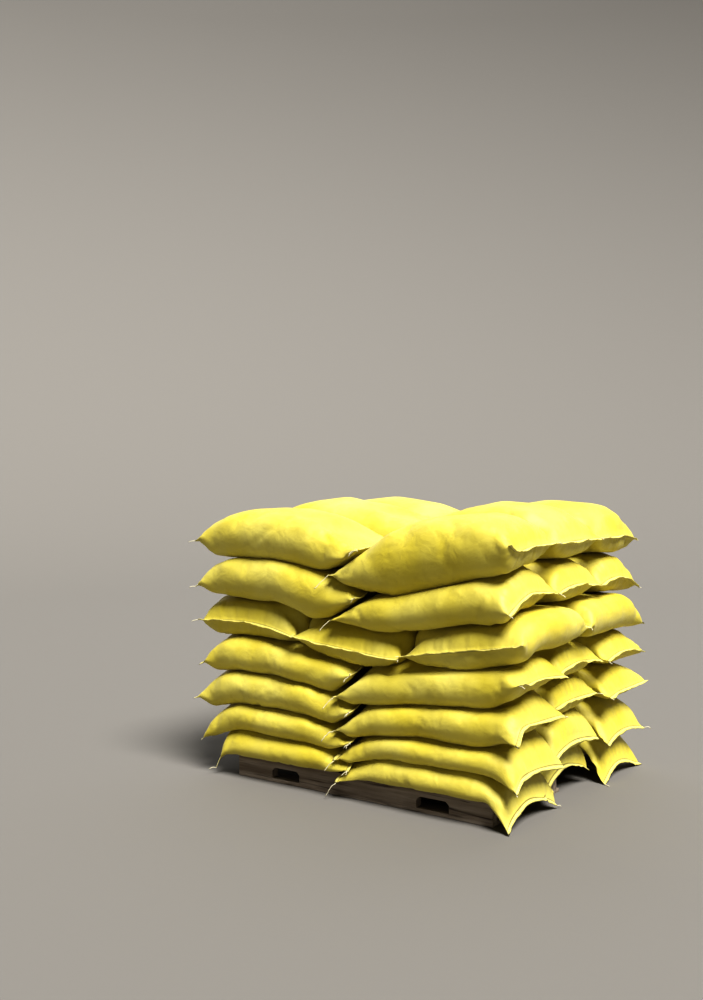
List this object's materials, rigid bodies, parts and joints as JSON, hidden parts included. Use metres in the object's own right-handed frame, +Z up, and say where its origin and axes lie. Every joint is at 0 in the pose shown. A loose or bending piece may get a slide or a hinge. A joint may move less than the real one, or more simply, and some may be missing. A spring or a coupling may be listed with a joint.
{
  "type": "pallet of sacks",
  "caption": "Wooden stringer pallet stacked with layers of filled, sewn, yellow woven plastic sacks, one layer turned.",
  "frame": {"origin": "on the floor, under the middle of the pallet", "axes": "+X along the long side of the pallet, -Y towards its front, +Z up"},
  "size_m": [1.83, 1.4, 1.3418],
  "materials": {
    "woven_sack": "satin",
    "pallet_wood": "weathered"
  },
  "bodies": {
    "root": {"base_board_back": "pallet_wood", "base_board_front": "pallet_wood", "base_board_middle": "pallet_wood", "deck_board_1": "pallet_wood", "deck_board_2": "pallet_wood", "deck_board_3": "pallet_wood", "deck_board_4": "pallet_wood", "deck_board_5": "pallet_wood", "deck_board_6": "pallet_wood", "deck_board_7": "pallet_wood", "deck_board_8": "pallet_wood", "deck_board_9": "pallet_wood", "sack_layer1_back_left": "woven_sack", "sack_layer1_back_right": "woven_sack", "sack_layer1_front_left": "woven_sack", "sack_layer1_front_right": "woven_sack", "sack_layer1_middle_left": "woven_sack", "sack_layer1_middle_right": "woven_sack", "sack_layer2_back_left": "woven_sack", "sack_layer2_back_right": "woven_sack", "sack_layer2_front_left": "woven_sack", "sack_layer2_front_right": "woven_sack", "sack_layer2_middle_left": "woven_sack", "sack_layer2_middle_right": "woven_sack", "sack_layer3_back_left": "woven_sack", "sack_layer3_back_right": "woven_sack", "sack_layer3_front_left": "woven_sack", "sack_layer3_front_right": "woven_sack", "sack_layer3_middle_left": "woven_sack", "sack_layer3_middle_right": "woven_sack", "sack_layer4_back_left": "woven_sack", "sack_layer4_back_right": "woven_sack", "sack_layer4_front_left": "woven_sack", "sack_layer4_front_right": "woven_sack", "sack_layer4_middle_left": "woven_sack", "sack_layer4_middle_right": "woven_sack", "sack_layer5_back_centre": "woven_sack", "sack_layer5_back_left": "woven_sack", "sack_layer5_back_right": "woven_sack", "sack_layer5_front_centre": "woven_sack", "sack_layer5_front_left": "woven_sack", "sack_layer5_front_right": "woven_sack", "sack_layer6_back_left": "woven_sack", "sack_layer6_back_right": "woven_sack", "sack_layer6_front_left": "woven_sack", "sack_layer6_front_right": "woven_sack", "sack_layer6_middle_left": "woven_sack", "sack_layer6_middle_right": "woven_sack", "sack_layer7_back_left": "woven_sack", "sack_layer7_back_right": "woven_sack", "sack_layer7_front_left": "woven_sack", "sack_layer7_front_right": "woven_sack", "sack_layer7_middle_left": "woven_sack", "sack_layer7_middle_right": "woven_sack", "stringer_back": "pallet_wood", "stringer_front": "pallet_wood", "stringer_middle": "pallet_wood"}
  },
  "joints": []
}
